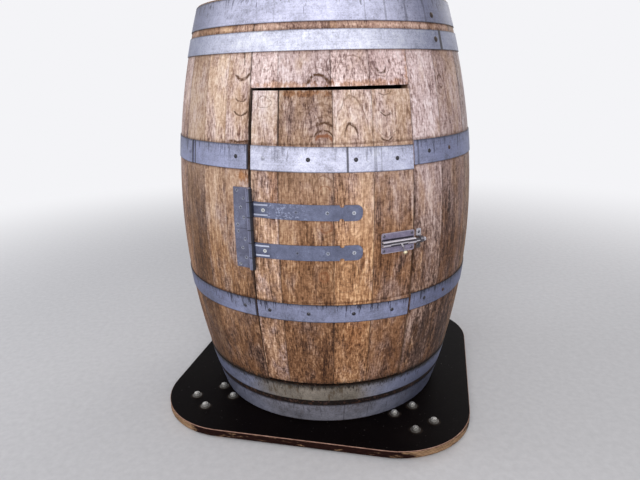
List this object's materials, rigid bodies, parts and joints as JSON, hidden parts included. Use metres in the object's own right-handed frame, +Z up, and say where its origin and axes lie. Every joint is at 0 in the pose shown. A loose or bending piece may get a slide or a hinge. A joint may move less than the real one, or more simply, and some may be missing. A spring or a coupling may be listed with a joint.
{
  "type": "barrel drink cabinet",
  "caption": "Upright oak barrel cabinet with steel hoops, a curved hinged door cut from its staves, strap hinges and a sliding bolt, on a rounded plywood base.",
  "frame": {"origin": "on the floor under the middle of the base plate", "axes": "+Z up, the middle of the door faces -Y, +X to the right seen from the front"},
  "size_m": [0.8672, 0.8672, 0.973],
  "materials": {
    "oak": "weathered bare oak",
    "head_oak": "weathered bare oak boards",
    "hoop_steel": "galvanised, stained",
    "hoop_fastener": "dull steel",
    "hinge_zinc": "zinc plated, dull blue-grey",
    "hinge_fastener": "zinc plated",
    "latch_zinc": "bright zinc plate",
    "knob_brass": "brass",
    "film_plywood": "film-faced plywood, dark brown",
    "foot_steel": "zinc plated",
    "bolt_zinc": "zinc plated",
    "bung_wood": "wood"
  },
  "bodies": {
    "cabinet": {"stave_01": "oak", "stave_02": "oak", "stave_03": "oak", "stave_04": "oak", "stave_05": "oak", "stave_06": "oak", "stave_07": "oak", "stave_08": "oak", "stave_09": "oak", "stave_10": "oak", "stave_11": "oak", "stave_12": "oak", "stave_13": "oak", "stave_14": "oak", "stave_15": "oak", "stave_16": "oak", "stave_17": "oak", "stave_18": "oak", "stave_19": "oak", "lintel_staves": "oak", "sill_staves": "oak", "top_head": "head_oak", "bottom_head": "head_oak", "top_head_hoop": "hoop_steel", "top_quarter_hoop": "hoop_steel", "upper_bilge_hoop": "hoop_steel", "lower_bilge_hoop": "hoop_steel", "bottom_quarter_hoop": "hoop_steel", "bottom_head_hoop": "hoop_steel", "hoop_rivets": "hoop_fastener", "frame_hoop_screws": "hoop_fastener", "upper_hinge_leaf": "hinge_zinc", "lower_hinge_leaf": "hinge_zinc", "hinge_pins": "hinge_zinc", "hinge_leaf_screws": "hinge_fastener", "latch_keeper": "latch_zinc", "keeper_screws": "latch_zinc", "base_plate": "film_plywood", "foot_plates": "foot_steel", "base_bolts": "bolt_zinc", "base_washers": "bolt_zinc", "base_nuts": "bolt_zinc", "barrel_screws": "bolt_zinc", "bung": "bung_wood"},
    "door": {"door_stave_1": "oak", "door_stave_2": "oak", "door_stave_3": "oak", "door_stave_4": "oak", "upper_door_hoop": "hoop_steel", "lower_door_hoop": "hoop_steel", "door_hoop_screws": "hoop_fastener", "upper_hinge_strap": "hinge_zinc", "lower_hinge_strap": "hinge_zinc", "hinge_strap_screws": "hinge_fastener", "door_battens": "oak", "latch_housing": "latch_zinc", "latch_screws": "latch_zinc"},
    "bolt": {"latch_bolt": "latch_zinc", "latch_knob": "knob_brass"}
  },
  "joints": [
    {"name": "door_hinge", "type": "hinge", "parent": "cabinet", "child": "door", "pos_m": [-0.17675, -0.35322, 0.518], "axis": [0, 0, -1], "range_deg": [0, 165]},
    {"name": "bolt_slide", "type": "slide", "parent": "door", "child": "bolt", "axis": [-0.9323, -0.3616, 0], "range_m": [-0.014, 0.024]}
  ]
}
